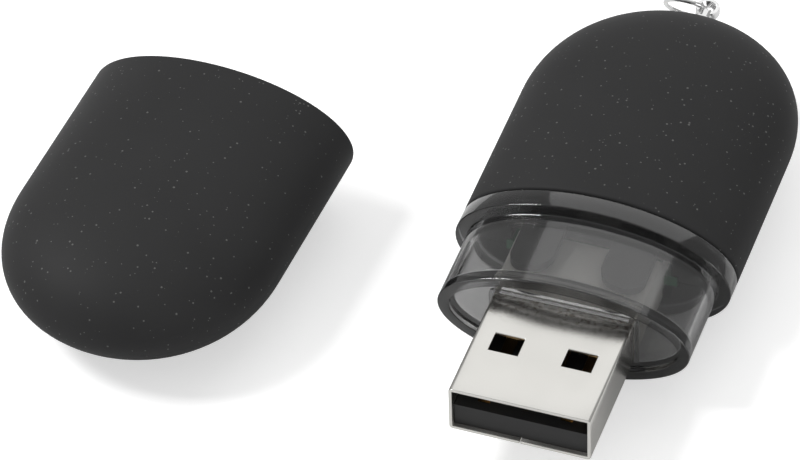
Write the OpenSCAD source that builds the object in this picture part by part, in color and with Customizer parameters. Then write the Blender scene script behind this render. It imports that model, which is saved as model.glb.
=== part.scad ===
// Capped USB flash drive: a soft-touch rear shell, a clear smoke front housing with a collar,
// a standard metal USB-A plug, the circuit board in its carrier, a lanyard eye with a ring,
// and the pull-off cap lying beside the drive.
// X is the width, +Y runs from the mouth of the plug to the tail, +Z is up.
// The origin is the centre of the plug's mouth.

/* [Body] */
// Width of the rear shell and of the cap
body_w = 23.8; // [22.6:0.1:32]
// Thickness of the rear shell and of the cap
body_t = 11.9; // [11.6:0.1:16]
// Length of the rear shell with its rounded tail
shell_len = 28.25; // [27.5:0.25:40]
// Length of the rounded end of the rear shell and of the cap
dome_len = 13; // [9:0.5:14]
// Wall of the rear shell
shell_wall = 1.3; // [1:0.05:1.4]
// Fullness of the rounded ends, 2 is an ellipse
dome_power = 2.1; // [1.9:0.05:3]

/* [Front housing] */
// Length of the neck that the cap slides over
neck_len = 7.9; // [6:0.1:12]
// Thickness of the collar between the neck and the rear shell
collar_len = 1.85; // [1.2:0.05:4]
// Open seam between the collar and the rear shell
seam = 0.25; // [0.1:0.05:0.6]
// Wall of the neck and of its spigot
neck_wall = 1.05; // [0.9:0.05:1.1]
// Depth of the face plate behind the neck's rim
face_recess = 0.45; // [0.2:0.05:1]
// Thickness of the face plate
face_plate = 1.2; // [0.8:0.1:2]
// Length of the spigot inside the rear shell
spigot_len = 4; // [2.5:0.5:6]

/* [Cap] */
// Length of the cap
cap_len = 28.6; // [25:0.1:36]
// Wall of the cap
cap_wall = 0.85; // [0.6:0.05:0.9]
// Distance from the drive's centre line to the cap's centre line
cap_aside = 35; // [30:0.5:60]
// How far the cap's mouth lies behind the plug's mouth
cap_back = 26.75; // [10:0.25:40]
// Turn of the cap away from parallel
cap_turn = -3.5; // [-8:0.5:8]

/* [USB plug] */
// Width of the plug's metal shell
plug_w = 12; // [12:0.1:12.1]
// Height of the plug's metal shell
plug_t = 4.5; // [4.4:0.1:4.6]
// Length of the plug in front of the neck's rim
plug_out = 11.25; // [11:0.05:12.5]
// Length of the plug's metal shell
plug_len = 18.75; // [17.5:0.25:19]
// Sheet thickness of the plug's metal shell
plug_sheet = 0.3; // [0.25:0.05:0.35]
// Thickness of the plastic tongue
tongue_t = 2.05; // [1.8:0.05:2.1]

/* [Board] */
// Width of the circuit board
board_w = 14.4; // [13.4:0.1:14.6]
// Length of the circuit board
board_len = 21.9; // [21.5:0.1:22]
// Thickness of the circuit board
board_t = 1; // [0.8:0.1:1.2]
// Wall of the board carrier
carrier_wall = 0.75; // [0.6:0.05:0.85]

/* [Lanyard eye] */
// Distance from the tail's tip to the centre of the eye's hole
eye_out = 2.3; // [2:0.1:5]
// Outside diameter of the eye
eye_d = 2.1; // [2:0.1:3]
// Wire diameter of the ring
ring_wire = 0.4; // [0.3:0.05:0.45]
// Diameter of the ring at the middle of its wire
ring_d = 4; // [3.8:0.1:12]

/* [Clearances] */
// Gap round the spigot and round the board carrier
slip = 0.1; // [0.05:0.01:0.15]
// Gap between the neck and the inside of the cap
cap_fit = 0.25; // [0.15:0.01:0.3]
// Gap between the neck and the cap's grip ribs
grip_fit = 0.05; // [0.02:0.01:0.1]
// Gap round small parts that are soldered or pressed together
joint_gap = 0.05; // [0.02:0.01:0.08]

/* [Hidden] */
$fn = 96;

half_w = body_w / 2;
half_t = body_t / 2;
far = 40;                 // longer than any cut needs
past = 1;                 // how far a cut runs past the face it opens

// Stations along Y
neck_y = plug_out;
face_y = neck_y + face_recess;
collar_y = neck_y + neck_len;
seam_y = collar_y + collar_len;
shell_y = seam_y + seam;
tail_y = shell_y + shell_len;
plate_back_y = face_y + face_plate;
spigot_end_y = shell_y + spigot_len;

// Half sizes of the nested ellipses. The cap lies flush with the collar, so the neck is
// set in by the cap's wall and its clearance.
neck_inset = cap_wall + cap_fit;
neck_a = half_w - neck_inset;
neck_b = half_t - neck_inset;
shell_in_a = half_w - shell_wall;
shell_in_b = half_t - shell_wall;
spigot_a = shell_in_a - slip;
spigot_b = shell_in_b - slip;
bore_a = neck_a - neck_wall;
bore_b = neck_b - neck_wall;
carrier_a = bore_a - slip;
carrier_b = bore_b - slip;
room_a = carrier_a - carrier_wall;
room_b = carrier_b - carrier_wall;

// Snap beads that hold the spigot in the rear shell
bead_w = 5;
bead_len = 0.8;
bead_high = 0.3;
bead_y = shell_y + 1.6;

// Face plate details
rim_wall = 1;
lip_wall = 0.35;
lip_high = 0.2;
mark_d = 2.2;
mark_deep = 0.12;
mark_x = neck_a - 3;

// Plug details, to the standard's layout
window_w = 2.5;
window_len = 2;
window_y = 5.2;
window_x = 3.1;
tongue_y = 0.45;
block_y = 9;
contact_x = [-3.5, -1, 1, 3.5];
contact_w = 1;
contact_t = 0.25;
outer_contact_y = 1.4;
inner_contact_y = 2.4;
leg_high = 2.2;
leg_len = 1.65;

// Board and carrier stations
board_y = plug_len + 0.2;
board_end_y = board_y + board_len;
board_top = board_t / 2;
carrier_y = board_y + joint_gap;
end_wall = 0.55;
carrier_end_y = board_end_y + slip + end_wall;
rail_in = board_w / 2 - 0.45;
finger_x = 3.8;
finger_w = 3.6;
finger_y = plate_back_y + 0.8;

// Room for the carrier's end inside the rear shell's dome
carrier_in_dome = max(0, carrier_end_y - (tail_y - dome_len)) / (dome_len - shell_wall);
end_scale = pow(1 - pow(carrier_in_dome, dome_power), 1 / dome_power);
tail_a = shell_in_a * end_scale - joint_gap;
tail_b = shell_in_b * end_scale - joint_gap;
peg_d = 0.8;
peg_x = (board_w / 2 + slip + room_a) / 2;
peg_y = [board_y + 5, board_end_y - 3];

// Flash memory: a 48-lead thin package on top of the board
flash_w = 12;
flash_body_len = 18.4;
flash_len = 19.9;
flash_t = 1;
flash_y = board_end_y - 0.15 - flash_len / 2;
lead_pitch = 0.5;
lead_w = 0.2;
lead_t = 0.15;
stand_off = 0.1;

// Controller: a square 48-lead package under the board
chip_w = 7;
chip_span = 9;
chip_t = 1.35;
chip_y = board_y + 8.1;

// Lanyard post and ring
boss_d = 4;
boss_y = tail_y - shell_wall - 1.6;
shank_d = 1.6;
shoulder_d = 2.6;
shoulder_len = 0.6;
seat_deep = 0.35;
shoulder_y = tail_y - seat_deep;
eye_y = tail_y + eye_out;
eye_t = 0.8;
throat_d = ring_wire + 0.5;
flare_d = eye_d - 0.66;
post_neck_d = 1.2;
clip_t = 0.35;
clip_d = 3;
groove_d = 1.1;
clip_y = boss_y - joint_gap - clip_t;
ring_droop = 20;
ring_lean = 30;

// Rounded half of a hollow pill: a ring of points at each station, an ellipse across Y
around = 56;
dome_steps = 9;
function ring_at(y, a, b) =
    [for (i = [0:around - 1]) [a * cos(360 * i / around), y, b * sin(360 * i / around)]];
// Rings of one wall from its open end at y0, the first one straight and the rest over the dome
function wall_rings(y0, y_dome, d, a, b) = concat([ring_at(y0, a, b)],
    [for (i = [0:dome_steps - 1])
        let (t = 90 * i / dome_steps, k = pow(cos(t), 2 / dome_power))
        ring_at(y_dome + d * pow(sin(t), 2 / dome_power), a * k, b * k)]);
function backwards(list) = [for (i = [len(list) - 1:-1:0]) list[i]];
function flat(list) = [for (part = list) for (item = part) item];

// Hollow shell that opens at y = 0 and ends in a dome at y = length
module hollow_pill(length, dome, wall, a, b) {
    y_dome = length - dome;
    outer = wall_rings(0, y_dome, dome, a, b);
    inner = wall_rings(0, y_dome, dome - wall, a - wall, b - wall);
    rings = concat(backwards(outer), inner);
    count = len(rings);
    points = concat(flat(rings), [[0, length, 0], [0, length - wall, 0]]);
    first_pole = count * around;
    sides = flat([for (r = [0:count - 2]) [for (i = [0:around - 1])
        let (j = (i + 1) % around)
        [r * around + j, r * around + i, (r + 1) * around + i, (r + 1) * around + j]]]);
    tip = [for (i = [0:around - 1]) [i, (i + 1) % around, first_pole]];
    last = (count - 1) * around;
    inner_tip = [for (i = [0:around - 1]) [last + (i + 1) % around, last + i, first_pole + 1]];
    polyhedron(points = points, faces = concat(sides, tip, inner_tip), convexity = 6);
}

// Solid elliptical rod along Y with flat ends
module oval_rod(a, b, y0, y1) {
    intersection() {
        translate([0, y0 - past, 0])
            rotate([-90, 0, 0])
                linear_extrude(y1 - y0 + 2 * past)
                    scale([a, b])
                        circle(r = 1);
        translate([-far, y0, -far])
            cube([2 * far, y1 - y0, 2 * far]);
    }
}

// Box centred on X and Z that runs from y0 to y1
module bar(w, t, y0, y1) {
    translate([-w / 2, y0, -t / 2])
        cube([w, y1 - y0, t]);
}

// Cylinder along Y
module pin(d, y0, y1) {
    translate([0, y0, 0])
        rotate([-90, 0, 0])
            cylinder(d = d, h = y1 - y0);
}

module on_both_sides() {
    children();
    mirror([1, 0, 0])
        children();
}

module top_and_bottom() {
    children();
    mirror([0, 0, 1])
        children();
}

// Rear shell: a hollow pill with snap grooves, and a boss with a hole for the lanyard post
module rear_shell() {
    color([0.17, 0.17, 0.17])
        difference() {
            union() {
                translate([0, shell_y, 0])
                    hollow_pill(shell_len, dome_len, shell_wall, half_w, half_t);
                pin(boss_d, boss_y, tail_y - shell_wall + 0.2);
            }
            pin(shank_d + 2 * joint_gap, boss_y - past, tail_y + past);
            pin(shoulder_d + 2 * joint_gap, shoulder_y, tail_y + past);
            top_and_bottom()
                translate([-bead_w / 2 - slip, bead_y - slip, spigot_b - past])
                    cube([bead_w + 2 * slip, bead_len + 2 * slip, past + bead_high + slip]);
        }
}

// Cap: the same hollow pill with a thinner wall and four grip ribs inside its mouth
rib_w = 1;
rib_len = neck_len - 1;
rib_x = 4;
module cap_rib() {
    z_low = neck_b * sqrt(1 - pow((rib_x - rib_w / 2) / neck_a, 2)) + grip_fit;
    translate([rib_x - rib_w / 2, -rib_len - 0.6, z_low])
        cube([rib_w, rib_len, cap_fit + cap_wall / 2 - grip_fit]);
}
module cap_shell() {
    color([0.16, 0.16, 0.16])
        translate([-cap_aside, cap_back, 0])
            rotate([0, 0, cap_turn]) {
                mirror([0, 1, 0])
                    hollow_pill(cap_len, dome_len, cap_wall, half_w, half_t);
                on_both_sides()
                    top_and_bottom()
                        cap_rib();
            }
}

// Front housing: neck, collar and spigot in one clear moulding round a through bore,
// closed in front by a face plate with the plug's opening
module neck_housing() {
    lip_w = plug_w + 2 * joint_gap + 2 * lip_wall;
    lip_t = plug_t + 2 * joint_gap + 2 * lip_wall;
    color([0.35, 0.35, 0.35, 0.6])
        difference() {
            union() {
                difference() {
                    union() {
                        oval_rod(neck_a, neck_b, neck_y, collar_y + collar_len / 2);
                        oval_rod(half_w, half_t, collar_y, seam_y);
                        oval_rod(spigot_a, spigot_b, seam_y - collar_len / 2, spigot_end_y);
                        top_and_bottom()
                            translate([-bead_w / 2, bead_y, spigot_b - past / 2])
                                cube([bead_w, bead_len, past / 2 + bead_high]);
                    }
                    oval_rod(neck_a - rim_wall, neck_b - rim_wall, neck_y - past, face_y);
                    oval_rod(bore_a, bore_b, plate_back_y, spigot_end_y + past);
                }
                bar(lip_w, lip_t, face_y - lip_high, plate_back_y);
            }
            bar(plug_w + 2 * joint_gap, plug_t + 2 * joint_gap, neck_y - past, plate_back_y + past);
            on_both_sides()
                translate([mark_x, 0, 0])
                    pin(mark_d, face_y - past, face_y + mark_deep);
        }
}

// One half of the board carrier, above the split plane: a half tube with a channel for
// the parts, a slot for the board's edge, a wall at each end and two rounded spring fingers
module carrier_half() {
    difference() {
        intersection() {
            union() {
                intersection() {
                    oval_rod(carrier_a, carrier_b, carrier_y, carrier_end_y);
                    oval_rod(tail_a, tail_b, carrier_y - past, carrier_end_y + past);
                }
                intersection() {
                    oval_rod(carrier_a, carrier_b, finger_y, carrier_y + past);
                    on_both_sides()
                        translate([finger_x, finger_y + finger_w / 2, 0]) {
                            cylinder(d = finger_w, h = far);
                            translate([-finger_w / 2, 0, 0])
                                cube([finger_w, carrier_y + past - finger_y, far]);
                        }
                }
            }
            translate([-far, 0, joint_gap / 2])
                cube([2 * far, 2 * far, far]);
        }
        difference() {
            intersection() {
                oval_rod(room_a, room_b, finger_y - past, board_end_y + slip);
                bar(2 * rail_in, 2 * far, finger_y - past, board_end_y + slip);
            }
            bar(2 * far, 2 * far, plug_len + leg_len + joint_gap, flash_y - flash_len / 2 - joint_gap);
        }
        bar(board_w + 2 * slip, board_t + 2 * joint_gap, finger_y - past, board_end_y + slip);
    }
}

module carrier_pegs(d, z0, z1) {
    for (y = peg_y)
        on_both_sides()
            translate([peg_x, y, z0])
                cylinder(d = d, h = z1 - z0, $fn = 48);
}

module carrier_top() {
    color([0.13, 0.13, 0.13])
        difference() {
            carrier_half();
            carrier_pegs(peg_d + 2 * joint_gap, -past, 1.1);
        }
}

module carrier_bottom() {
    color([0.14, 0.14, 0.14]) {
        mirror([0, 0, 1])
            carrier_half();
        carrier_pegs(peg_d, -0.3, 0.9);
    }
}

// Plug shell: folded sheet steel, open at the mouth, two windows above and below,
// and two legs that stand in the board's slots
module plug_shell() {
    leg_end_y = plug_len + leg_len;
    color([0.86, 0.85, 0.83]) {
        difference() {
            bar(plug_w, plug_t, 0, plug_len);
            bar(plug_w - 2 * plug_sheet, plug_t - 2 * plug_sheet, -past, plug_len + past);
            on_both_sides()
                translate([window_x - window_w / 2, window_y, -far])
                    cube([window_w, window_len, 2 * far]);
        }
        on_both_sides()
            translate([plug_w / 2 - plug_sheet, plug_len - past / 2, -leg_high / 2])
                cube([plug_sheet, leg_end_y - plug_len + past / 2, leg_high]);
    }
}

// Height of the tongue's top face, where the contacts lie flush
tongue_low = -plug_t / 2 + plug_sheet + joint_gap;
tongue_top = tongue_low + tongue_t;

// Plug insulator: the tongue with four contact grooves, and the block behind the mouth
module plug_insulator() {
    core_w = plug_w - 2 * plug_sheet - 2 * joint_gap;
    core_t = plug_t - 2 * plug_sheet - 2 * joint_gap;
    color([0.1, 0.1, 0.1])
        difference() {
            union() {
                translate([-core_w / 2, tongue_y, tongue_low])
                    cube([core_w, block_y + past - tongue_y, tongue_t]);
                bar(core_w, core_t, block_y, plug_len - 0.35);
            }
            for (i = [0:3])
                contact_groove(i);
        }
}

function contact_front(i) = (i == 0 || i == 3) ? outer_contact_y : inner_contact_y;

module contact_groove(i) {
    groove_w = contact_w + 2 * joint_gap;
    deep = contact_t + joint_gap;
    translate([contact_x[i] - groove_w / 2, contact_front(i) - joint_gap, tongue_top - deep])
        cube([groove_w, plug_len, deep + joint_gap]);
}

// A contact: a flat strip on the tongue that steps up behind the block onto the board
module contact(i) {
    z0 = tongue_top - contact_t;
    pad_z = board_top + joint_gap / 2;
    riser_y = board_y - 2 * joint_gap - contact_t;
    color([0.83, 0.67, 0.36])
        translate([contact_x[i] - contact_w / 2, 0, 0]) {
            translate([0, contact_front(i), z0])
                cube([contact_w, riser_y + contact_t - contact_front(i), contact_t]);
            translate([0, riser_y, z0])
                cube([contact_w, contact_t, pad_z + contact_t - z0]);
            translate([0, riser_y, pad_z])
                cube([contact_w, contact_t + 1.3, contact_t]);
        }
}

module contact_vbus() { contact(3); }
module contact_dminus() { contact(2); }
module contact_dplus() { contact(1); }
module contact_gnd() { contact(0); }

// Circuit board with two open slots for the plug's legs
module circuit_board() {
    slot_w = plug_sheet + 4 * joint_gap;
    slot_end_y = plug_len + leg_len + 2 * joint_gap;
    color([0.05, 0.3, 0.16])
        difference() {
            bar(board_w, board_t, board_y, board_end_y);
            on_both_sides()
                translate([plug_w / 2 - plug_sheet - 2 * joint_gap, board_y - past, -far])
                    cube([slot_w, slot_end_y - board_y + past, 2 * far]);
        }
}

// A lead bent like a gull's wing: out of the body at x = 0, down, and flat on the board.
// It is drawn along +X, standing on z = 0.
module gull_lead(reach, high, foot) {
    rotate([90, 0, 0])
        linear_extrude(lead_w, center = true)
            polygon([
                [0, high], [reach - foot, high], [reach - foot, lead_t], [reach, lead_t],
                [reach, 0], [reach - foot - lead_t, 0], [reach - foot - lead_t, high - lead_t],
                [0, high - lead_t]
            ]);
}

// A row of leads along Y at the +X side of a body
module lead_row(count, edge, reach, high, foot) {
    for (i = [0:count - 1])
        translate([edge, (i - (count - 1) / 2) * lead_pitch, 0])
            gull_lead(reach, high, foot);
}

module flash_chip() {
    color([0.11, 0.11, 0.12])
        translate([-flash_w / 2, flash_y - flash_body_len / 2, board_top + stand_off])
            cube([flash_w, flash_body_len, flash_t]);
}

module flash_leads() {
    reach = (flash_len - flash_body_len) / 2;
    color([0.75, 0.75, 0.76])
        translate([0, flash_y, board_top + joint_gap / 2])
            for (side = [90, 270])
                rotate([0, 0, side])
                    lead_row(24, flash_body_len / 2, reach, stand_off + flash_t / 2, 0.35);
}

// Parts under the board are drawn upright and turned over
module under_board(x, y) {
    translate([x, y, -board_top - joint_gap / 2])
        rotate([0, 180, 0])
            children();
}

module controller_chip() {
    color([0.12, 0.12, 0.13])
        under_board(0, chip_y)
            translate([-chip_w / 2, -chip_w / 2, stand_off])
                cube([chip_w, chip_w, chip_t]);
}

module controller_leads() {
    color([0.75, 0.75, 0.76])
        under_board(0, chip_y)
            for (side = [0:90:270])
                rotate([0, 0, side])
                    lead_row(12, chip_w / 2, (chip_span - chip_w) / 2, stand_off + 0.7, 0.5);
}

// Quartz crystal in a small ceramic package with a metal lid
crystal_x = 3.3;
crystal_y = board_y + 16.4;
crystal_w = 3.2;
crystal_len = 5;
crystal_base_t = 0.8;
crystal_rim = 0.3;
module crystal_base() {
    color([0.72, 0.66, 0.56])
        under_board(crystal_x, crystal_y)
            translate([-crystal_w / 2, -crystal_len / 2, 0])
                cube([crystal_w, crystal_len, crystal_base_t]);
}

module crystal_lid() {
    lid_w = crystal_w - 2 * crystal_rim;
    lid_len = crystal_len - 2 * crystal_rim;
    color([0.8, 0.8, 0.8])
        under_board(crystal_x, crystal_y)
            translate([-lid_w / 2, -lid_len / 2, crystal_base_t])
                cube([lid_w, lid_len, 0.25]);
}

// Three-legged voltage regulator
regulator_x = -3.2;
regulator_y = board_y + 15.8;
module voltage_regulator() {
    color([0.13, 0.13, 0.14])
        under_board(regulator_x, regulator_y) {
            translate([-0.65, -1.45, stand_off])
                cube([1.3, 2.9, 1]);
            for (y = [-0.95, 0.95])
                translate([0.6, y, 0])
                    gull_lead(0.6, stand_off + 0.5, 0.3);
            mirror([1, 0, 0])
                translate([0.6, 0, 0])
                    gull_lead(0.6, stand_off + 0.5, 0.3);
        }
}

// Light that shows through the clear front housing
module activity_led() {
    color([0.9, 0.92, 0.85])
        under_board(-4.6, board_y + 2.6) {
            translate([-0.8, -0.4, 0])
                cube([1.6, 0.8, 0.3]);
            translate([-0.5, -0.4, 0.3])
                cube([1, 0.8, 0.35]);
        }
}

// Two-ended surface part, long side along Y
module two_ended(w, l, t) {
    translate([-w / 2, -l / 2, 0])
        cube([w, l, t]);
}

cap_row_x = -5.4;
module capacitors() {
    color([0.68, 0.55, 0.38]) {
        for (i = [0:3])
            under_board(cap_row_x, board_y + 6.2 + 2.3 * i)
                two_ended(0.8, 1.6, 0.8);
        under_board(-cap_row_x, board_y + 12.4)
            two_ended(0.8, 1.6, 0.8);
        under_board(-3.2, board_y + 19.6)
            two_ended(1.6, 2, 0.9);
    }
}

module resistors() {
    color([0.09, 0.09, 0.1])
        for (i = [0:2])
            under_board(-cap_row_x, board_y + 5.4 + 1.8 * i)
                two_ended(0.5, 1, 0.35);
}

// Lanyard post: shank with a clip groove, a shoulder on the tail and a flat round eye
// whose hole flares towards both faces
module lanyard_post() {
    color([0.85, 0.85, 0.85])
        difference() {
            union() {
                pin(shank_d, clip_y - 0.6, shoulder_y + 0.1);
                pin(shoulder_d, shoulder_y, shoulder_y + shoulder_len);
                pin(post_neck_d, shoulder_y + shoulder_len - 0.1, eye_y - throat_d / 2 - 0.1);
                intersection() {
                    translate([0, eye_y, -eye_t / 2])
                        cylinder(d = eye_d, h = eye_t);
                    translate([0, eye_y, 0])
                        sphere(r = eye_d / 2 + 0.03);
                }
            }
            translate([0, eye_y, -past])
                cylinder(d = throat_d, h = 2 * past);
            for (up = [0, 180])
                translate([0, eye_y, 0])
                    rotate([up, 0, 0])
                        cylinder(d1 = throat_d, d2 = flare_d, h = eye_t / 2 + 0.02);
            difference() {
                pin(clip_d, clip_y - joint_gap, boss_y - joint_gap / 2);
                pin(groove_d, clip_y - past, boss_y + past);
            }
        }
}

// Open spring clip in the post's groove, behind the boss
module post_clip() {
    color([0.7, 0.7, 0.7])
        difference() {
            pin(clip_d, clip_y, clip_y + clip_t);
            pin(groove_d + 2 * joint_gap, clip_y - past, clip_y + clip_t + past);
            translate([-0.4, clip_y - past, -far])
                cube([0.8, clip_t + 2 * past, far]);
        }
}

// Ring through the eye, lying over to the side of the cap
module lanyard_ring() {
    color([0.85, 0.85, 0.85])
        translate([0, eye_y, 0])
            rotate([ring_lean, 0, 0])
                rotate([0, -ring_droop, 0])
                    translate([-ring_d / 2, 0, 0])
                        rotate([90, 0, 0])
                            rotate_extrude()
                                translate([ring_d / 2, 0])
                                    circle(d = ring_wire, $fn = 32);
}

rear_shell();
cap_shell();
neck_housing();
carrier_top();
carrier_bottom();
plug_shell();
plug_insulator();
contact_vbus();
contact_dminus();
contact_dplus();
contact_gnd();
circuit_board();
flash_chip();
flash_leads();
controller_chip();
controller_leads();
crystal_base();
crystal_lid();
voltage_regulator();
activity_led();
capacitors();
resistors();
lanyard_post();
post_clip();
lanyard_ring();
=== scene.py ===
from math import atan2, cos, pi, radians, sin

import bmesh
import bpy
from mathutils import Matrix, Vector


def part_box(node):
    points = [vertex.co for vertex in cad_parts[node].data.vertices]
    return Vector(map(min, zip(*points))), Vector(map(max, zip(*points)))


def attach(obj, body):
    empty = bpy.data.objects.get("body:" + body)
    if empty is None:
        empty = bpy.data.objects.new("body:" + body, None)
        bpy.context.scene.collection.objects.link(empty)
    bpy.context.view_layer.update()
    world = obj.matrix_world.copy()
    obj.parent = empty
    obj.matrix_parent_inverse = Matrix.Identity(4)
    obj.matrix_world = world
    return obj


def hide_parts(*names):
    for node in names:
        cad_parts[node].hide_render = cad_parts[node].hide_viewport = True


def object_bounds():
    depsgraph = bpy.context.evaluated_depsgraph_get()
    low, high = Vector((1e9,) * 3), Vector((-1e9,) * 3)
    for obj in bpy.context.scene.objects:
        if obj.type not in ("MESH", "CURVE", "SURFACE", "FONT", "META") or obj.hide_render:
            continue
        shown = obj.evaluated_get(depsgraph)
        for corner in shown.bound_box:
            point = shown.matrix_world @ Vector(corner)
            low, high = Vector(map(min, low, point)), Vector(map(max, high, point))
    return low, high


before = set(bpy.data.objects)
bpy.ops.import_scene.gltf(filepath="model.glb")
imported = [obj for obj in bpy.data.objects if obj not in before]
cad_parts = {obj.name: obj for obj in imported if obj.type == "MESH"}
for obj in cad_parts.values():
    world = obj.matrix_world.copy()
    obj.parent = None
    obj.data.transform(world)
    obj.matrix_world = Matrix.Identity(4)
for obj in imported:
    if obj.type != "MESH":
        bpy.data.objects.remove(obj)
cad_low, cad_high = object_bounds()


# Rear shell: one moulded plastic pill with a soft-touch lacquer, open towards the plug.
# It is pushed over the front housing's spigot and snaps on two beads. The tip has a round
# seat and a hole for the lanyard post.
MM = 0.001
SHELL_WALL, SHELL_DOME, FULLNESS = 1.3, 13.0, 2.1
SEAT, POST_HOLE, SEAT_DEEP = 1.35, 0.85, 0.35
MOUTH_ROUND, SEAT_ROUND, TIP_FROM = 0.3, 0.06, 72
low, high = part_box("rear_shell")
HALF_W, HALF_T = high.x / MM, high.z / MM
SHELL_Y, TAIL_Y = low.y / MM, high.y / MM


def ring_point(a, b, power, angle):
    """Point of a rounded outline with half sizes a and b; power 2 is an ellipse."""
    c, s = cos(angle), sin(angle)
    x = a * abs(c) ** (2 / power) * (1 if c >= 0 else -1)
    z = b * abs(s) ** (2 / power) * (1 if s >= 0 else -1)
    return x, z


def spin_outline(bm, outline, closed=True, steps=128, crown=None):
    """Spins an outline of (half width, half height, y, power) round Y and gives each ring
    its own half sizes. crown lifts the rings of a dome onto the dome's surface."""
    number = bm.verts.layers.int.new("ring")
    corners = []
    for i, (a, b, y, power) in enumerate(outline):
        corner = bm.verts.new((a, y, 0))
        corner[number] = i
        corners.append(corner)
    pairs = list(zip(corners, corners[1:])) + ([(corners[-1], corners[0])] if closed else [])
    sides = [bm.edges.new(pair) for pair in pairs]
    bmesh.ops.spin(bm, geom=corners + sides, axis=(0, 1, 0), cent=(0, 0, 0), dvec=(0, 0, 0),
                   angle=2 * pi, steps=steps, use_merge=True, use_duplicate=False)
    for v in bm.verts:
        a, b, y, power = outline[v[number]]
        v.co.x, v.co.z = ring_point(a, b, power, atan2(v.co.z, v.co.x))
        if crown and v[number] in crown:
            v.co.y = crown[v[number]](v.co.x, v.co.z)
    bmesh.ops.remove_doubles(bm, verts=bm.verts, dist=1e-4)
    bmesh.ops.recalc_face_normals(bm, faces=bm.faces)


def dome(y0, length, a, b, steps=26, stop=90):
    """Rings of a rounded end, from its widest place to stop degrees; 90 is its tip."""
    rings = []
    for i in range(steps + 1):
        t = radians(stop * i / steps)
        k = cos(t) ** (2 / FULLNESS) if i < steps or stop < 90 else 0.0
        rings.append((a * k, b * k, y0 + length * sin(t) ** (2 / FULLNESS), 2))
    return rings


def dome_height(y0, length, a, b):
    """The dome's y over any x and z."""
    return lambda x, z: y0 + length * max(
        0.0, 1 - ((x / a) ** 2 + (z / b) ** 2) ** (FULLNESS / 2)) ** (1 / FULLNESS)


def round_edges(bm, width, segments=3, sharper_than=35, keep=None):
    """Rounds the edges that turn by more than sharper_than degrees."""
    edges = [e for e in bm.edges if len(e.link_faces) == 2
             and e.calc_face_angle(0) > radians(sharper_than) and (keep is None or keep(e))]
    bmesh.ops.bevel(bm, geom=edges, offset=width, offset_type="OFFSET", affect="EDGES",
                    segments=segments, profile=0.5, material=-1, clamp_overlap=True)


def place(bm, name, body, slot, material, *nodes):
    """Turns a mesh drawn in millimetres into a piece that replaces CAD nodes."""
    bmesh.ops.scale(bm, vec=(MM, MM, MM), verts=bm.verts)
    mesh = bpy.data.meshes.new(name)
    bm.to_mesh(mesh)
    bm.free()
    mesh.shade_smooth()
    mesh.set_sharp_from_angle(angle=radians(32))
    piece = bpy.data.objects.new(name, mesh)
    bpy.context.scene.collection.objects.link(piece)
    piece.data.materials.append(material)
    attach(piece, body)
    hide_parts(*nodes)


def new_group(name, takes, gives):
    """An empty shader group with named number sockets."""
    group = bpy.data.node_groups.new(name, "ShaderNodeTree")
    for socket, value in takes.items():
        made = group.interface.new_socket(socket, in_out="INPUT", socket_type="NodeSocketFloat")
        made.default_value = value
    for socket in gives:
        group.interface.new_socket(socket, in_out="OUTPUT", socket_type="NodeSocketFloat")
    return group, group.nodes.new("NodeGroupInput"), group.nodes.new("NodeGroupOutput")


def object_place(tree):
    """The place on the object, which every pattern follows."""
    return tree.nodes.new("ShaderNodeTexCoord").outputs["Object"]


def maths(tree, operation, first, second=0.0):
    """One Math node; first and second are numbers or sockets."""
    node = tree.nodes.new("ShaderNodeMath")
    node.operation = operation
    for socket, value in zip(node.inputs, (first, second)):
        if isinstance(value, (int, float)):
            socket.default_value = value
        else:
            tree.links.new(value, socket)
    return node.outputs[0]


def noise_at(tree, where, scale, detail, rough=0.6):
    """One Noise node; scale is a number or a socket."""
    node = tree.nodes.new("ShaderNodeTexNoise")
    node.inputs["Detail"].default_value = detail
    node.inputs["Roughness"].default_value = rough
    tree.links.new(where, node.inputs["Vector"])
    if isinstance(scale, (int, float)):
        node.inputs["Scale"].default_value = scale
    else:
        tree.links.new(scale, node.inputs["Scale"])
    return node.outputs[0]


def steps_between(tree, value, low, high):
    """0 below low, 1 above high and a smooth rise between them."""
    node = tree.nodes.new("ShaderNodeMapRange")
    node.interpolation_type = "SMOOTHSTEP"
    for socket, number in (("From Min", low), ("From Max", high)):
        if isinstance(number, (int, float)):
            node.inputs[socket].default_value = number
        else:
            tree.links.new(number, node.inputs[socket])
    tree.links.new(value, node.inputs["Value"])
    return node.outputs[0]


def surface_grain():
    """A surface's fine height, a slow drift over the whole piece, and specks of dust."""
    group, ins, outs = new_group(
        "surface_grain", {"Grain Scale": 6000.0, "Drift Scale": 120.0, "Speck Scale": 900.0,
                          "Speck Size": 0.1}, ["Height", "Drift", "Specks"])
    where = object_place(group)
    height = noise_at(group, where, ins.outputs["Grain Scale"], 3.0)
    drift = noise_at(group, where, ins.outputs["Drift Scale"], 2.0)
    cells = group.nodes.new("ShaderNodeTexVoronoi")
    group.links.new(where, cells.inputs["Vector"])
    group.links.new(ins.outputs["Speck Scale"], cells.inputs["Scale"])
    spread = group.nodes.new("ShaderNodeSeparateColor")
    group.links.new(cells.outputs["Color"], spread.inputs[0])
    mostly_small = maths(group, "POWER", spread.outputs[0], 6.0)
    reach = maths(group, "MULTIPLY", ins.outputs["Speck Size"], mostly_small)
    speck = maths(group, "LESS_THAN", cells.outputs["Distance"], reach)
    for socket, value in (("Height", height), ("Drift", drift), ("Specks", speck)):
        group.links.new(value, outs.inputs[socket])
    return group


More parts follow.
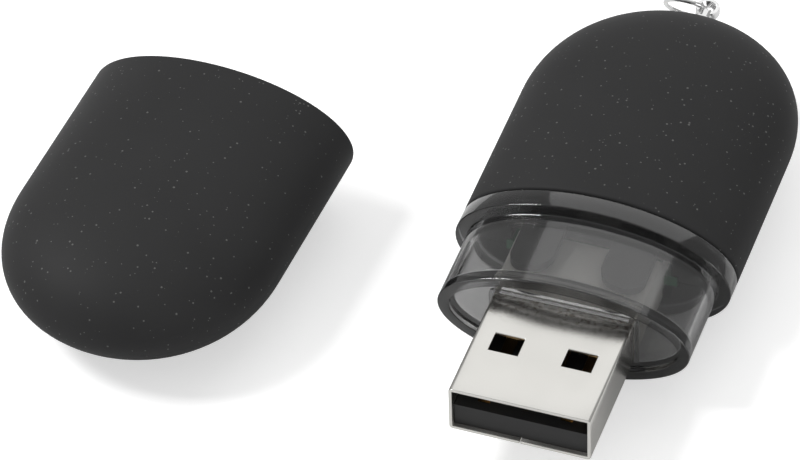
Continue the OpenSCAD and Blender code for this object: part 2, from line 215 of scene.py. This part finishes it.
def rubbed_edges():
    """High where the surface turns outwards, broken up by a patchy noise."""
    group, ins, outs = new_group(
        "rubbed_edges", {"Start": 0.53, "End": 0.6, "Patch Scale": 700.0}, ["Mask"])
    turned = group.nodes.new("ShaderNodeNewGeometry").outputs["Pointiness"]
    edge = steps_between(group, turned, ins.outputs["Start"], ins.outputs["End"])
    noise = noise_at(group, object_place(group), ins.outputs["Patch Scale"], 3.0)
    patches = steps_between(group, noise, 0.42, 0.62)
    group.links.new(maths(group, "MULTIPLY", edge, patches), outs.inputs["Mask"])
    return group


def mix_colours(tree, mask, first, second):
    """first where the mask is 0 and second where it is 1."""
    node = tree.nodes.new("ShaderNodeMix")
    node.data_type = "RGBA"
    tree.links.new(mask, node.inputs["Factor"])
    for socket, value in (("A", first), ("B", second)):
        target = [s for s in node.inputs if s.name == socket and s.type == "RGBA"][0]
        if isinstance(value, tuple):
            target.default_value = (*value, 1)
        else:
            tree.links.new(value, target)
    return [s for s in node.outputs if s.type == "RGBA"][0]


grain, wear = surface_grain(), rubbed_edges()


def finish(name, colour, drifted, roughness, rubbed=None, rub_range=(0.53, 0.6),
           grain_scale=6000.0, bump=0.1, bump_depth=0.02, specks=0.0,
           speck_colour=(0.5, 0.5, 0.48), speck_scale=900.0, drift_scale=120.0,
           rough_swing=0.1, **fixed):
    """A surface finish: a base colour that drifts, grain, dust and rubbed edges over one
    Principled shader. fixed sets the shader's own sockets."""
    material = bpy.data.materials.new(name)
    material.use_nodes = True
    tree = material.node_tree
    shader = tree.nodes["Principled BSDF"]
    for socket, value in fixed.items():
        shader.inputs[socket.replace("_", " ")].default_value = value
    surface = tree.nodes.new("ShaderNodeGroup")
    surface.node_tree = grain
    surface.inputs["Grain Scale"].default_value = grain_scale
    surface.inputs["Drift Scale"].default_value = drift_scale
    surface.inputs["Speck Scale"].default_value = speck_scale
    surface.inputs["Speck Size"].default_value = specks
    drift = steps_between(tree, surface.outputs["Drift"], 0.3, 0.7)
    shade = mix_colours(tree, drift, colour, drifted)
    if rubbed:
        rub = tree.nodes.new("ShaderNodeGroup")
        rub.node_tree = wear
        rub.inputs["Start"].default_value, rub.inputs["End"].default_value = rub_range
        shade = mix_colours(tree, rub.outputs["Mask"], shade, rubbed)
    if specks:
        shade = mix_colours(tree, surface.outputs["Specks"], shade, speck_colour)
    tree.links.new(shade, shader.inputs["Base Color"])
    swing = maths(tree, "MULTIPLY", maths(tree, "SUBTRACT", drift, 0.5), rough_swing)
    tree.links.new(maths(tree, "ADD", swing, roughness), shader.inputs["Roughness"])
    raised = tree.nodes.new("ShaderNodeBump")
    raised.inputs["Strength"].default_value = bump
    raised.inputs["Distance"].default_value = bump_depth * MM
    tree.links.new(surface.outputs["Height"], raised.inputs["Height"])
    tree.links.new(raised.outputs["Normal"], shader.inputs["Normal"])
    return material


soft_touch = finish("soft_touch_black", (0.022, 0.022, 0.0225), (0.025, 0.025, 0.0255), 0.62,
                    rubbed=(0.06, 0.06, 0.06), bump=0.25, bump_depth=0.01, specks=0.3,
                    speck_colour=(0.1, 0.1, 0.098), speck_scale=3000.0, rough_swing=0.08,
                    Specular_IOR_Level=0.15, Sheen_Weight=0.02, Sheen_Roughness=0.5)

# The dome's last rings run over its tip to the seat outside and to the post's hole inside.
dome_y = TAIL_Y - SHELL_DOME
in_a, in_b, in_len = HALF_W - SHELL_WALL, HALF_T - SHELL_WALL, SHELL_DOME - SHELL_WALL
outer = [(HALF_W, HALF_T, SHELL_Y, 2)] + dome(dome_y, SHELL_DOME, HALF_W, HALF_T, stop=TIP_FROM)
inner = [(in_a, in_b, SHELL_Y, 2)] + dome(dome_y, in_len, in_a, in_b, stop=TIP_FROM)
crown, rings = {}, list(outer)


def lift_rings(last, target, y, height, shares):
    """Adds rings between the last ring and a round hole, to be lifted onto the dome."""
    for share in shares:
        crown[len(rings)] = height
        a, b = (size + (target - size) * share for size in last[:2])
        rings.append((a, b, y, 2))


lift_rings(outer[-1], SEAT, TAIL_Y, dome_height(dome_y, SHELL_DOME, HALF_W, HALF_T),
           (0.25, 0.5, 0.75, 1.0))
rings += [(SEAT, SEAT, TAIL_Y - SEAT_DEEP, 2), (POST_HOLE, POST_HOLE, TAIL_Y - SEAT_DEEP, 2)]
lift_rings(inner[-1], POST_HOLE, TAIL_Y - SHELL_WALL, dome_height(dome_y, in_len, in_a, in_b),
           (1.0, 0.66, 0.33))
rings += reversed(inner)
bm = bmesh.new()
spin_outline(bm, rings, crown=crown)
round_edges(bm, MOUTH_ROUND, keep=lambda e: all(v.co.y < SHELL_Y + 0.01 for v in e.verts))
round_edges(bm, SEAT_ROUND, segments=2, keep=lambda e: all(v.co.y > TAIL_Y - 1 for v in e.verts))
place(bm, "rear_shell_lacquered", "drive", "soft_touch_black", soft_touch, "rear_shell")


# Cap: the same pill with a thinner wall in the same lacquered plastic, with four grip ribs
# inside its mouth. It is free of the drive and lies beside it, mouth to the tail.
CAP_WALL, CAP_LEN, CAP_ROUND, CAP_FIT = 0.85, 28.6, 0.28, 0.25
CAP_ASIDE, CAP_BACK, CAP_TURN = 35.0, 26.75, -3.5
RIB_X, RIB_Y, RIB_W, RIB_LEN, RIB_HIGH, RIB_ROUND, RIB_FIT = 4.0, 0.6, 1.0, 6.9, 0.62, 0.12, 0.05
in_a, in_b = HALF_W - CAP_WALL, HALF_T - CAP_WALL
outer = [(HALF_W, HALF_T, 0, 2)] + dome(CAP_LEN - SHELL_DOME, SHELL_DOME, HALF_W, HALF_T)
inner = [(in_a, in_b, 0, 2)] + dome(CAP_LEN - SHELL_DOME, SHELL_DOME - CAP_WALL, in_a, in_b)
bm = bmesh.new()
spin_outline(bm, list(reversed(outer)) + inner, closed=False)
round_edges(bm, CAP_ROUND, keep=lambda e: all(v.co.y < 0.01 for v in e.verts))
neck_a, neck_b = in_a - CAP_FIT, in_b - CAP_FIT
rib_low = neck_b * (1 - ((RIB_X - RIB_W / 2) / neck_a) ** 2) ** 0.5 + RIB_FIT
for side in (-1, 1):
    for level in (-1, 1):
        made = bmesh.ops.create_cube(bm, size=1)["verts"]
        bmesh.ops.scale(bm, vec=(RIB_W, RIB_LEN, RIB_HIGH), verts=made)
        bmesh.ops.translate(bm, verts=made, vec=(side * RIB_X, RIB_Y + RIB_LEN / 2,
                                                 level * (rib_low + RIB_HIGH / 2)))
        edges = list({e for v in made for e in v.link_edges})
        bmesh.ops.bevel(bm, geom=edges, offset=RIB_ROUND, offset_type="OFFSET",
                        affect="EDGES", segments=2, profile=0.5, material=-1)
bmesh.ops.rotate(bm, verts=bm.verts, cent=(0, 0, 0),
                 matrix=Matrix.Rotation(pi + radians(CAP_TURN), 3, "Z"))
bmesh.ops.translate(bm, verts=bm.verts, vec=(-CAP_ASIDE, CAP_BACK, 0))
place(bm, "cap_lacquered", "cap", "soft_touch_black", soft_touch, "cap_shell")


# Front housing: neck, collar and spigot moulded in one piece of clear smoke plastic, closed
# in front by a face plate with the plug's opening, a low lip and two round moulding marks.
RIM_WALL, NECK_WALL, LIP, LIP_HIGH, HOUSING_ROUND = 1.0, 1.05, 0.35, 0.2, 0.1
OPEN_W, OPEN_T, OPEN_POWER = 12.1 / 2, 4.6 / 2, 14
OFF_LIP_X, OFF_LIP_Z = 90 ** 0.5, 12 ** 0.5
NECK_Y, FACE_Y, PLATE_BACK_Y = 11.25, 11.7, 12.9
COLLAR_Y, SEAM_Y, SPIGOT_END_Y = 19.15, 21.0, 25.25
SPIGOT_FIT = 0.1
INSET, SPIGOT_IN = CAP_WALL + CAP_FIT, SHELL_WALL + SPIGOT_FIT
RIM_SHADE_FROM, RIM_SHADE_FULL, COLLAR_SHADE_BLEND = 0.42, 0.3, 0.15
MARK_X, MARK_R, MARK_LINE, MARK_DEEP, MARK_REACH = 7.8, 1.1, 0.09, 0.1, 0.3


def inset_ring(inset, y):
    """A ring that follows the body's outline, inset from it."""
    return (HALF_W - inset, HALF_T - inset, y, 2)


def opening_ring(around, y):
    """A ring that follows the plug's opening, around it."""
    return (OPEN_W + around, OPEN_T + around, y, OPEN_POWER)


def smoke_plastic():
    """Clear plastic whose depth darkens it, with painted shade darkening its colour at the rim
    and collar.
    """
    material = finish("smoke_clear", (0.9, 0.9, 0.9), (0.95, 0.95, 0.95), 0.09,
                      grain_scale=1500.0, bump=0.03, bump_depth=0.01, rough_swing=0.04,
                      Transmission_Weight=1.0, IOR=1.5, Coat_Weight=0.8, Coat_Roughness=0.03)
    tree = material.node_tree
    shader = tree.nodes["Principled BSDF"]
    tint = tree.nodes.new("ShaderNodeVolumeAbsorption")
    tint.inputs["Color"].default_value = (0.03, 0.03, 0.03, 1)
    tint.inputs["Density"].default_value = 300.0
    tree.links.new(tint.outputs[0], tree.nodes["Material Output"].inputs["Volume"])
    axes = tree.nodes.new("ShaderNodeSeparateXYZ")
    tree.links.new(object_place(tree), axes.inputs[0])
    x, y, z = axes.outputs
    # Painted shade: the colour turns dark grey at the front rim and over the collar, standing in
    # for the thick plastic and the black carrier seen through it.
    rim_painted_shade = steps_between(tree, maths(tree, "MULTIPLY", y, -1.0),
                        -(NECK_Y + RIM_SHADE_FROM) * MM, -(NECK_Y + RIM_SHADE_FULL) * MM)
    collar_painted_shade = steps_between(tree, y, (COLLAR_Y - COLLAR_SHADE_BLEND) * MM, COLLAR_Y * MM)
    clear = shader.inputs["Base Color"]
    tree.links.new(mix_colours(tree, maths(tree, "ADD", rim_painted_shade, collar_painted_shade),
                               clear.links[0].from_socket, (0.28, 0.28, 0.285)), clear)
    # The moulding marks are round lines pressed into the face beside the plug.
    aside = maths(tree, "SUBTRACT", maths(tree, "ABSOLUTE", x), MARK_X * MM)
    squares = (maths(tree, "MULTIPLY", side, side) for side in (aside, z))
    from_middle = maths(tree, "SQRT", maths(tree, "ADD", *squares))
    off_line = maths(tree, "ABSOLUTE", maths(tree, "SUBTRACT", from_middle, MARK_R * MM))
    mark = maths(tree, "MULTIPLY", maths(tree, "LESS_THAN", off_line, MARK_LINE * MM),
                 maths(tree, "LESS_THAN", y, (FACE_Y + MARK_REACH) * MM))
    pressed = tree.nodes.new("ShaderNodeBump")
    pressed.invert = True
    pressed.inputs["Strength"].default_value = 0.8
    pressed.inputs["Distance"].default_value = MARK_DEEP * MM
    tree.links.new(mark, pressed.inputs["Height"])
    tree.links.new(shader.inputs["Normal"].links[0].from_socket, pressed.inputs["Normal"])
    tree.links.new(pressed.outputs["Normal"], shader.inputs["Normal"])
    return material


def off_opening(edge):
    """True for an edge outside the ellipse that holds the plug's opening and lip."""
    return all((v.co.x / OFF_LIP_X) ** 2 + (v.co.z / OFF_LIP_Z) ** 2 > 1 for v in edge.verts)


bm = bmesh.new()
spin_outline(bm, [
    inset_ring(INSET + NECK_WALL, SPIGOT_END_Y), inset_ring(INSET + NECK_WALL, PLATE_BACK_Y),
    opening_ring(0, PLATE_BACK_Y), opening_ring(0, FACE_Y - LIP_HIGH),
    opening_ring(LIP, FACE_Y - LIP_HIGH), opening_ring(LIP, FACE_Y),
    inset_ring(INSET + RIM_WALL, FACE_Y), inset_ring(INSET + RIM_WALL, NECK_Y),
    inset_ring(INSET, NECK_Y), inset_ring(INSET, COLLAR_Y), inset_ring(0, COLLAR_Y),
    inset_ring(0, SEAM_Y), inset_ring(SPIGOT_IN, SEAM_Y), inset_ring(SPIGOT_IN, SPIGOT_END_Y)],
    steps=160)
round_edges(bm, HOUSING_ROUND, sharper_than=50, keep=off_opening)
place(bm, "front_housing_smoke", "drive", "smoke_clear", smoke_plastic(), "neck_housing")


# USB plug shell: one strip of nickel-plated steel folded round the tongue with its seam
# underneath, two windows in each wide face, and two legs soldered into the board.
PLUG_W, PLUG_T, SHEET, PLUG_LEN = 12.0, 4.5, 0.3, 18.75
FOLD, FOLD_STEPS, SEAM_GAP, SHEET_ROUND = 0.33, 4, 0.06, 0.07
WINDOW_X, WINDOW_W, WINDOW_Y, WINDOW_LEN = 3.1, 2.5, 5.2, 2.0
LEG_HALF, LEG_LEN = 1.1, 1.65
REFLECTION_FROM, REFLECTION_FULL, REFLECTION_END = 8.2, 11.4, 11.6
MATT_FROM, MATT_FULL = 11.3, 11.9
half_w, half_t = PLUG_W / 2, PLUG_T / 2


def nickel_plating():
    """Satin plating with a painted reflection of the dark neck, speckled, where the plug leaves
    the housing; matt inside.
    """
    material = finish("nickel_steel", (0.68, 0.67, 0.64), (0.655, 0.645, 0.615), 0.24,
                      grain_scale=1800.0, bump=0.12, bump_depth=0.006, specks=0.05,
                      speck_colour=(0.25, 0.22, 0.18), speck_scale=2500.0,
                      drift_scale=150.0, rough_swing=0.03, Metallic=1.0)
    tree = material.node_tree
    shader = tree.nodes["Principled BSDF"]
    where = object_place(tree)
    axes = tree.nodes.new("ShaderNodeSeparateXYZ")
    tree.links.new(where, axes.inputs[0])
    y = axes.outputs["Y"]
    # Painted reflection: a speckled dark band just in front of the housing's face stands in for
    # the dark neck mirrored in the plating.
    root_reflection_band = maths(tree, "MULTIPLY",
                      steps_between(tree, y, REFLECTION_FROM * MM, REFLECTION_FULL * MM),
                      maths(tree, "LESS_THAN", y, REFLECTION_END * MM))
    speckle = steps_between(tree, noise_at(tree, where, 2600.0, 4.0, 0.7), 0.5, 0.62)
    painted_reflection = maths(tree, "ADD", maths(tree, "MULTIPLY", speckle, 0.75), 0.12)
    plating = shader.inputs["Base Color"]
    tree.links.new(mix_colours(tree, maths(tree, "MULTIPLY", root_reflection_band, painted_reflection),
                               plating.links[0].from_socket, (0.2, 0.16, 0.125)), plating)
    gloss = shader.inputs["Roughness"]
    matt = maths(tree, "MULTIPLY",
                 steps_between(tree, y, MATT_FROM * MM, MATT_FULL * MM), 0.5)
    tree.links.new(maths(tree, "ADD", gloss.links[0].from_socket, matt), gloss)
    return material


def in_window(face):
    """True for a face that the windows take away."""
    middle = face.calc_center_median()
    return (abs(abs(middle.x) - WINDOW_X) < WINDOW_W / 2 and abs(middle.z) > half_t - 0.01
            and WINDOW_Y < middle.y < WINDOW_Y + WINDOW_LEN)


# The right half of the strip from the seam to the top, then its mirrored half.
strip = [(x, -half_t) for x in (SEAM_GAP / 2, WINDOW_X - WINDOW_W / 2, WINDOW_X + WINDOW_W / 2)]
for level, turn in ((-1, -90), (1, 0)):
    for step in range(FOLD_STEPS + 1):
        t = radians(turn + 90 * step / FOLD_STEPS)
        strip.append((half_w - FOLD + FOLD * cos(t), level * (half_t - FOLD) + FOLD * sin(t)))
    if level < 0:
        strip += [(half_w, -LEG_HALF), (half_w, LEG_HALF)]
strip += [(x, half_t) for x in (WINDOW_X + WINDOW_W / 2, WINDOW_X - WINDOW_W / 2)]
strip += [(-x, z) for x, z in reversed(strip)]
bm = bmesh.new()
corners = [bm.verts.new((x, 0, z)) for x, z in strip]
row = [bm.edges.new(pair) for pair in zip(corners, corners[1:])]
for length in (WINDOW_Y, WINDOW_LEN, PLUG_LEN - WINDOW_Y - WINDOW_LEN, LEG_LEN):
    if length == LEG_LEN:
        row = [e for e in row if all(abs(v.co.x) > half_w - 0.01
                                     and abs(v.co.z) < LEG_HALF + 0.01 for v in e.verts)]
    made = bmesh.ops.extrude_edge_only(bm, edges=row)["geom"]
    bmesh.ops.translate(bm, verts=[g for g in made if isinstance(g, bmesh.types.BMVert)],
                        vec=(0, length, 0))
    row = [g for g in made if isinstance(g, bmesh.types.BMEdge)
           and abs(g.verts[0].co.y - g.verts[1].co.y) < 1e-6]
bmesh.ops.delete(bm, geom=[f for f in bm.faces if in_window(f)], context="FACES")
bmesh.ops.recalc_face_normals(bm, faces=bm.faces)
bmesh.ops.solidify(bm, geom=bm.faces, thickness=SHEET)
bmesh.ops.recalc_face_normals(bm, faces=bm.faces)
round_edges(bm, SHEET_ROUND, segments=2, sharper_than=60)
place(bm, "plug_shell_folded", "drive", "nickel_steel", nickel_plating(), "plug_shell")


# Plug insulator: a black moulded tongue and block, pushed into the plug shell, with a
# gold-plated contact in each of its four grooves.
def dress(material, slot, *names):
    """Gives carried-over CAD nodes their finish."""
    for name in names:
        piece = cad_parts[name]
        piece.data.materials.clear()
        piece.data.materials.append(material)


moulded = finish("black_moulding", (0.012, 0.012, 0.0125), (0.015, 0.015, 0.015), 0.5,
                 grain_scale=2500.0, bump_depth=0.01, specks=0.06,
                 speck_colour=(0.1, 0.1, 0.095), Specular_IOR_Level=0.4)
dress(moulded, "black_moulding", "plug_insulator")
gold = finish("gold_contact", (0.9, 0.62, 0.3), (0.8, 0.52, 0.25), 0.22, grain_scale=2500.0,
              bump_depth=0.006, Metallic=1.0)
dress(gold, "gold_contact", "contact_vbus", "contact_dminus", "contact_dplus", "contact_gnd")


# Board carrier: two moulded halves of the same black plastic, closed round the board. Each
# half has two round-ended fingers that reach forward into the clear neck.
dress(moulded, "black_moulding", "carrier_top", "carrier_bottom")


# Circuit board and its parts: a green lacquered glass-fibre board held in the carrier, with
# black packages on tinned leads, a crystal, ceramic capacitors, resistors and a clear light.
board = finish("green_board", (0.012, 0.11, 0.045), (0.016, 0.15, 0.06), 0.3,
               grain_scale=1200.0, bump=0.2, bump_depth=0.03, Coat_Weight=0.4)
dress(board, "green_board", "circuit_board")
package = finish("chip_black", (0.022, 0.022, 0.024), (0.03, 0.03, 0.032), 0.55,
                 grain_scale=4000.0, bump=0.4)
dress(package, "chip_black", "flash_chip", "controller_chip", "voltage_regulator", "resistors")
tinned = finish("tin", (0.72, 0.72, 0.73), (0.62, 0.62, 0.64), 0.32, grain_scale=3000.0,
                bump=0.15, bump_depth=0.01, Metallic=1.0)
dress(tinned, "tin", "flash_leads", "controller_leads", "crystal_lid")
ceramic = finish("tan_ceramic", (0.5, 0.36, 0.2), (0.58, 0.44, 0.27), 0.5,
                 grain_scale=2500.0, bump=0.2)
dress(ceramic, "tan_ceramic", "capacitors", "crystal_base")
light = finish("led_clear", (0.8, 0.82, 0.72), (0.7, 0.74, 0.66), 0.2, grain_scale=2500.0,
               bump_depth=0.01, Coat_Weight=0.5)
dress(light, "led_clear", "activity_led")


# Lanyard post and ring: a turned steel post whose flat eye stands out of the tail, held by
# a tinned clip inside, and a plain polished wire ring that hangs in the eye.
polished = finish("polished_steel", (0.82, 0.82, 0.81), (0.74, 0.74, 0.74), 0.12,
                  rubbed=(0.92, 0.92, 0.91), grain_scale=2500.0, bump=0.08,
                  bump_depth=0.006, rough_swing=0.06, Metallic=1.0)
dress(polished, "polished_steel", "lanyard_post", "lanyard_ring")
dress(tinned, "tin", "post_clip")


# Studio: a sheet of white paper that glows a little towards the camera, so that it stays
# white under the lamps, in white surroundings. A large lamp stands behind the object, a
# fill on its right and a key on its left. The camera is a long lens from the front, above.
FLOOR, PAPER_GLOW, SURROUNDINGS = 3.0, 0.5, 0.4
OBJECT_MIDDLE = Vector((-0.0164, 0.0182, 0.0))
AZIMUTH, ELEVATION, ROLL = radians(20.393), radians(44.291), radians(-1.956)
ACROSS, UPWARDS, AWAY = -9.5595, 15.6, 480.683
bm = bmesh.new()
bmesh.ops.create_grid(bm, x_segments=8, y_segments=8, size=FLOOR)
bmesh.ops.translate(bm, verts=bm.verts, vec=(0, 0, cad_low.z))
mesh = bpy.data.meshes.new("floor")
bm.to_mesh(mesh)
bm.free()
floor = bpy.data.objects.new("floor", mesh)
bpy.context.scene.collection.objects.link(floor)
paper = finish("floor_paper", (0.78, 0.78, 0.78), (0.8, 0.8, 0.8), 0.8, grain_scale=800.0,
               bump=0.02, rough_swing=0.02)
floor.data.materials.append(paper)
tree = paper.node_tree
paper_shader = tree.nodes["Principled BSDF"]
paper_shader.inputs["Emission Color"].default_value = (1, 1, 1, 1)
seen = tree.nodes.new("ShaderNodeLightPath").outputs["Is Camera Ray"]
tree.links.new(maths(tree, "MULTIPLY", seen, PAPER_GLOW),
               paper_shader.inputs["Emission Strength"])

bpy.context.scene.view_settings.view_transform = "Standard"
world = bpy.data.worlds.new("studio")
bpy.context.scene.world = world
world.use_nodes = True
world.node_tree.nodes["Background"].inputs["Color"].default_value = (1, 1, 1, 1)
world.node_tree.nodes["Background"].inputs["Strength"].default_value = SURROUNDINGS


def soft_lamp(name, where, size, power):
    """A square lamp aimed at the middle of the object."""
    data = bpy.data.lights.new(name, "AREA")
    data.size, data.energy = size, power
    lamp = bpy.data.objects.new(name, data)
    lamp.location = Vector(where)
    lamp.rotation_mode = "QUATERNION"
    lamp.rotation_quaternion = (OBJECT_MIDDLE - lamp.location).to_track_quat("-Z", "Y")
    bpy.context.scene.collection.objects.link(lamp)


soft_lamp("softbox", (-0.03, 0.55, 0.66), 0.8, 1.5)
soft_lamp("right_fill", (0.7, -0.35, 0.3), 0.4, 1.6)
soft_lamp("key", (-0.75, -0.1, 0.85), 0.35, 9.0)

forward = Vector((-sin(AZIMUTH) * cos(ELEVATION), cos(AZIMUTH) * cos(ELEVATION),
                  -sin(ELEVATION)))
level = forward.cross(Vector((0, 0, 1))).normalized()
upright = level.cross(forward)
right = level * cos(ROLL) + upright * sin(ROLL)
up = upright * cos(ROLL) - level * sin(ROLL)
lens = bpy.data.cameras.new("camera")
lens.lens, lens.sensor_width = 270.0, 36.0
lens.clip_start, lens.clip_end = 0.01, 20.0
camera = bpy.data.objects.new("camera", lens)
spot = (right * ACROSS + up * UPWARDS - forward * AWAY) * MM
turned = Matrix((right, up, -forward)).transposed().to_4x4()
camera.matrix_world = Matrix.Translation(spot) @ turned
bpy.context.scene.collection.objects.link(camera)
bpy.context.scene.camera = camera
